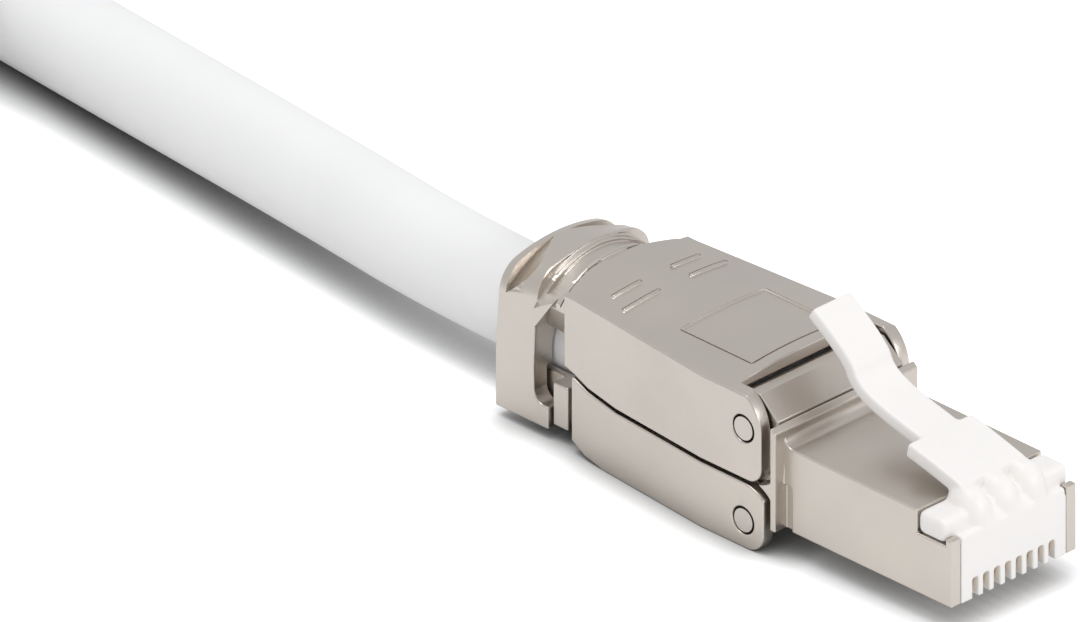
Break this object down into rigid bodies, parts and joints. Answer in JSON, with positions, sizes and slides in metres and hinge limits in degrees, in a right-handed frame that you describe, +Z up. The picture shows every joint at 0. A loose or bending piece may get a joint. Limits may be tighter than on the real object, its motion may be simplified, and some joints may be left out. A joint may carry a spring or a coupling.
{
  "type": "ethernet plug",
  "caption": "Shielded field-termination data plug with hinged metal lids and a sprung white latch, on a short round lead with the same plug on its far end.",
  "frame": {"origin": "under the middle of the plug, on the flat bottom of its lower lid", "axes": "+X to the nose that enters the jack, +Y to the side, +Z up through the latch"},
  "size_m": [0.1669, 0.0901, 0.0163],
  "materials": {
    "cast_shell": "satin nickel",
    "hinge_steel": "satin",
    "white_insert": "semi-gloss",
    "contact_gold": "plated",
    "terminal_bronze": "plated",
    "board_laminate": "matte",
    "terminal_plastic": "matte",
    "wire_insulation": "matte",
    "cable_jacket": "matte"
  },
  "bodies": {
    "plug": {"housing": "cast_shell", "upper_hinge_pin_right": "hinge_steel", "upper_hinge_pin_left": "hinge_steel", "lower_hinge_pin_right": "hinge_steel", "lower_hinge_pin_left": "hinge_steel", "contact_carrier": "white_insert", "latch_base": "white_insert", "circuit_board": "board_laminate", "upper_terminal_block": "terminal_plastic", "lower_terminal_block": "terminal_plastic", "cable_end": "cable_jacket", "cable_run": "cable_jacket", "cable_coil": "cable_jacket", "cable_tail": "cable_jacket", "contact_1": "contact_gold", "terminal_blade_1": "terminal_bronze", "wire_1": "wire_insulation", "contact_2": "contact_gold", "terminal_blade_2": "terminal_bronze", "wire_2": "wire_insulation", "contact_3": "contact_gold", "terminal_blade_3": "terminal_bronze", "wire_3": "wire_insulation", "contact_4": "contact_gold", "terminal_blade_4": "terminal_bronze", "wire_4": "wire_insulation", "contact_5": "contact_gold", "terminal_blade_5": "terminal_bronze", "wire_5": "wire_insulation", "contact_6": "contact_gold", "terminal_blade_6": "terminal_bronze", "wire_6": "wire_insulation", "contact_7": "contact_gold", "terminal_blade_7": "terminal_bronze", "wire_7": "wire_insulation", "contact_8": "contact_gold", "terminal_blade_8": "terminal_bronze", "wire_8": "wire_insulation", "far_housing": "cast_shell", "far_hinge_pins": "hinge_steel", "far_contact_carrier": "white_insert", "far_contacts": "contact_gold", "far_latch_base": "white_insert", "far_circuit_board": "board_laminate", "far_terminal_blocks": "terminal_plastic", "far_terminal_blades": "terminal_bronze", "far_wires": "wire_insulation", "far_cable_end": "cable_jacket"},
    "upper_lid": {"upper_lid": "cast_shell", "upper_wire_holder": "terminal_plastic"},
    "lower_lid": {"lower_lid": "cast_shell", "lower_wire_holder": "terminal_plastic"},
    "latch": {"latch_lever": "white_insert"},
    "far_upper_lid": {"far_upper_lid": "cast_shell", "far_upper_wire_holder": "terminal_plastic"},
    "far_lower_lid": {"far_lower_lid": "cast_shell", "far_lower_wire_holder": "terminal_plastic"},
    "far_latch": {"far_latch_lever": "white_insert"}
  },
  "joints": [
    {"name": "upper_lid_hinge", "type": "hinge", "parent": "plug", "child": "upper_lid", "pos_m": [0.0031, 0, 0.0089], "axis": [0, 1, 0], "range_deg": [0, 50]},
    {"name": "lower_lid_hinge", "type": "hinge", "parent": "plug", "child": "lower_lid", "pos_m": [0.0031, 0, 0.002], "axis": [0, -1, 0], "range_deg": [0, 50]},
    {"name": "latch_flex", "type": "hinge", "parent": "plug", "child": "latch", "pos_m": [0.01995, 0, 0.0082], "axis": [0, -1, 0], "range_deg": [0, 7], "stiffness_Nm_per_rad": 0.1},
    {"name": "far_upper_lid_hinge", "type": "hinge", "parent": "plug", "child": "far_upper_lid", "pos_m": [-0.0339, -0.0702, 0.0089], "axis": [0, 1, 0], "range_deg": [0, 50]},
    {"name": "far_lower_lid_hinge", "type": "hinge", "parent": "plug", "child": "far_lower_lid", "pos_m": [-0.0339, -0.0702, 0.002], "axis": [0, -1, 0], "range_deg": [0, 50]},
    {"name": "far_latch_flex", "type": "hinge", "parent": "plug", "child": "far_latch", "pos_m": [-0.01705, -0.0702, 0.0082], "axis": [0, -1, 0], "range_deg": [0, 7], "stiffness_Nm_per_rad": 0.1}
  ]
}
